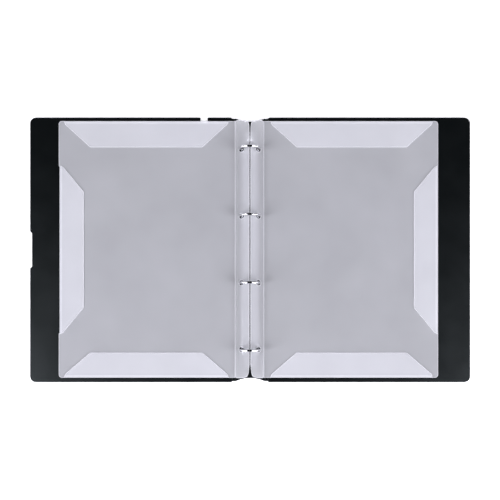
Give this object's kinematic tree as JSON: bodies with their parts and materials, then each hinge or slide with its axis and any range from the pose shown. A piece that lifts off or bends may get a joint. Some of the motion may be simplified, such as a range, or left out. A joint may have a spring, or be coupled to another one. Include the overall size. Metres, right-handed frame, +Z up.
{
  "type": "ring binder",
  "caption": "A4 ring binder lying open: black plastic covers on living hinges, a riveted round-ring mechanism and two frosted flap folders hung on its rings.",
  "frame": {"origin": "on the table under the middle of the spine, at the bottom centre of the open binder's box", "axes": "+X across the open spread from the front cover (left) to the back cover (right), +Y along the spine to the binder's head, +Z up from the table through the rings"},
  "size_m": [0.532, 0.32, 0.0295],
  "materials": {
    "cover_plastic": "fine-grained black polypropylene sheet",
    "ring_steel": "bright nickel plate on round wire",
    "plate_steel": "nickel-plated pressed steel",
    "blade_steel": "plain rolled spring steel",
    "rivet_steel": "nickel-plated rivet",
    "folder_film": "frosted translucent polypropylene film"
  },
  "bodies": {
    "root": {"spine_panel": "cover_plastic", "front_living_hinge": "cover_plastic", "back_living_hinge": "cover_plastic", "mechanism_plate": "plate_steel", "rivet_head_end": "rivet_steel", "rivet_foot_end": "rivet_steel"},
    "front_cover": {"front_cover": "cover_plastic"},
    "back_cover": {"back_cover": "cover_plastic"},
    "left_rings": {"left_blade": "blade_steel", "left_half_ring_1": "ring_steel", "left_half_ring_2": "ring_steel", "left_half_ring_3": "ring_steel", "left_half_ring_4": "ring_steel"},
    "right_rings": {"right_blade": "blade_steel", "right_half_ring_1": "ring_steel", "right_half_ring_2": "ring_steel", "right_half_ring_3": "ring_steel", "right_half_ring_4": "ring_steel"},
    "left_strip": {"left_binding_strip": "folder_film"},
    "left_panel": {"left_folder_panel": "folder_film"},
    "left_top_flap": {"left_top_flap": "folder_film"},
    "left_bottom_flap": {"left_bottom_flap": "folder_film"},
    "left_side_flap": {"left_side_flap": "folder_film"},
    "right_strip": {"right_binding_strip": "folder_film"},
    "right_panel": {"right_folder_panel": "folder_film"},
    "right_top_flap": {"right_top_flap": "folder_film"},
    "right_bottom_flap": {"right_bottom_flap": "folder_film"},
    "right_side_flap": {"right_side_flap": "folder_film"}
  },
  "joints": [
    {"name": "front_cover_hinge", "type": "hinge", "parent": "root", "child": "front_cover", "pos_m": [-0.02, 0, 0.00025], "axis": [0, 1, 0], "range_deg": [0, 90]},
    {"name": "back_cover_hinge", "type": "hinge", "parent": "root", "child": "back_cover", "pos_m": [0.02, 0, 0.00025], "axis": [0, -1, 0], "range_deg": [0, 90]},
    {"name": "left_ring_opening", "type": "hinge", "parent": "root", "child": "left_rings", "pos_m": [-0.0104, 0, 0.0048], "axis": [0, -1, 0], "range_deg": [0, 13]},
    {"name": "right_ring_opening", "type": "hinge", "parent": "root", "child": "right_rings", "pos_m": [0.0104, 0, 0.0048], "axis": [0, 1, 0], "range_deg": [0, 13]},
    {"name": "left_page_turn", "type": "hinge", "parent": "root", "child": "left_strip", "pos_m": [0, 0, 0.0165], "axis": [0, -1, 0], "range_deg": [-185, 0]},
    {"name": "left_panel_crease", "type": "hinge", "parent": "left_strip", "child": "left_panel", "pos_m": [-0.0178, 0, 0.00285], "axis": [0, 1, 0], "range_deg": [0, 90]},
    {"name": "left_top_flap_fold", "type": "hinge", "parent": "left_panel", "child": "left_top_flap", "pos_m": [-0.1253, 0.1548, 0.00325], "axis": [-1, 0, 0], "range_deg": [0, 180]},
    {"name": "left_bottom_flap_fold", "type": "hinge", "parent": "left_panel", "child": "left_bottom_flap", "pos_m": [-0.1253, -0.1537, 0.00325], "axis": [1, 0, 0], "range_deg": [0, 180]},
    {"name": "left_side_flap_fold", "type": "hinge", "parent": "left_panel", "child": "left_side_flap", "pos_m": [-0.2294, 0, 0.00325], "axis": [0, -1, 0], "range_deg": [0, 180]},
    {"name": "right_page_turn", "type": "hinge", "parent": "root", "child": "right_strip", "pos_m": [0, 0, 0.0165], "axis": [0, 1, 0], "range_deg": [-185, 0]},
    {"name": "right_panel_crease", "type": "hinge", "parent": "right_strip", "child": "right_panel", "pos_m": [0.0163, 0, 0.00285], "axis": [0, -1, 0], "range_deg": [0, 90]},
    {"name": "right_top_flap_fold", "type": "hinge", "parent": "right_panel", "child": "right_top_flap", "pos_m": [0.12255, 0.1548, 0.00325], "axis": [-1, 0, 0], "range_deg": [0, 180]},
    {"name": "right_bottom_flap_fold", "type": "hinge", "parent": "right_panel", "child": "right_bottom_flap", "pos_m": [0.12255, -0.1537, 0.00325], "axis": [1, 0, 0], "range_deg": [0, 180]},
    {"name": "right_side_flap_fold", "type": "hinge", "parent": "right_panel", "child": "right_side_flap", "pos_m": [0.2263, 0, 0.00325], "axis": [0, 1, 0], "range_deg": [0, 180]}
  ],
  "couplings": [
    {"joint": "right_ring_opening", "follows": "left_ring_opening", "ratio": 1},
    {"joint": "left_panel_crease", "follows": "front_cover_hinge", "ratio": 1},
    {"joint": "right_panel_crease", "follows": "back_cover_hinge", "ratio": 1}
  ]
}
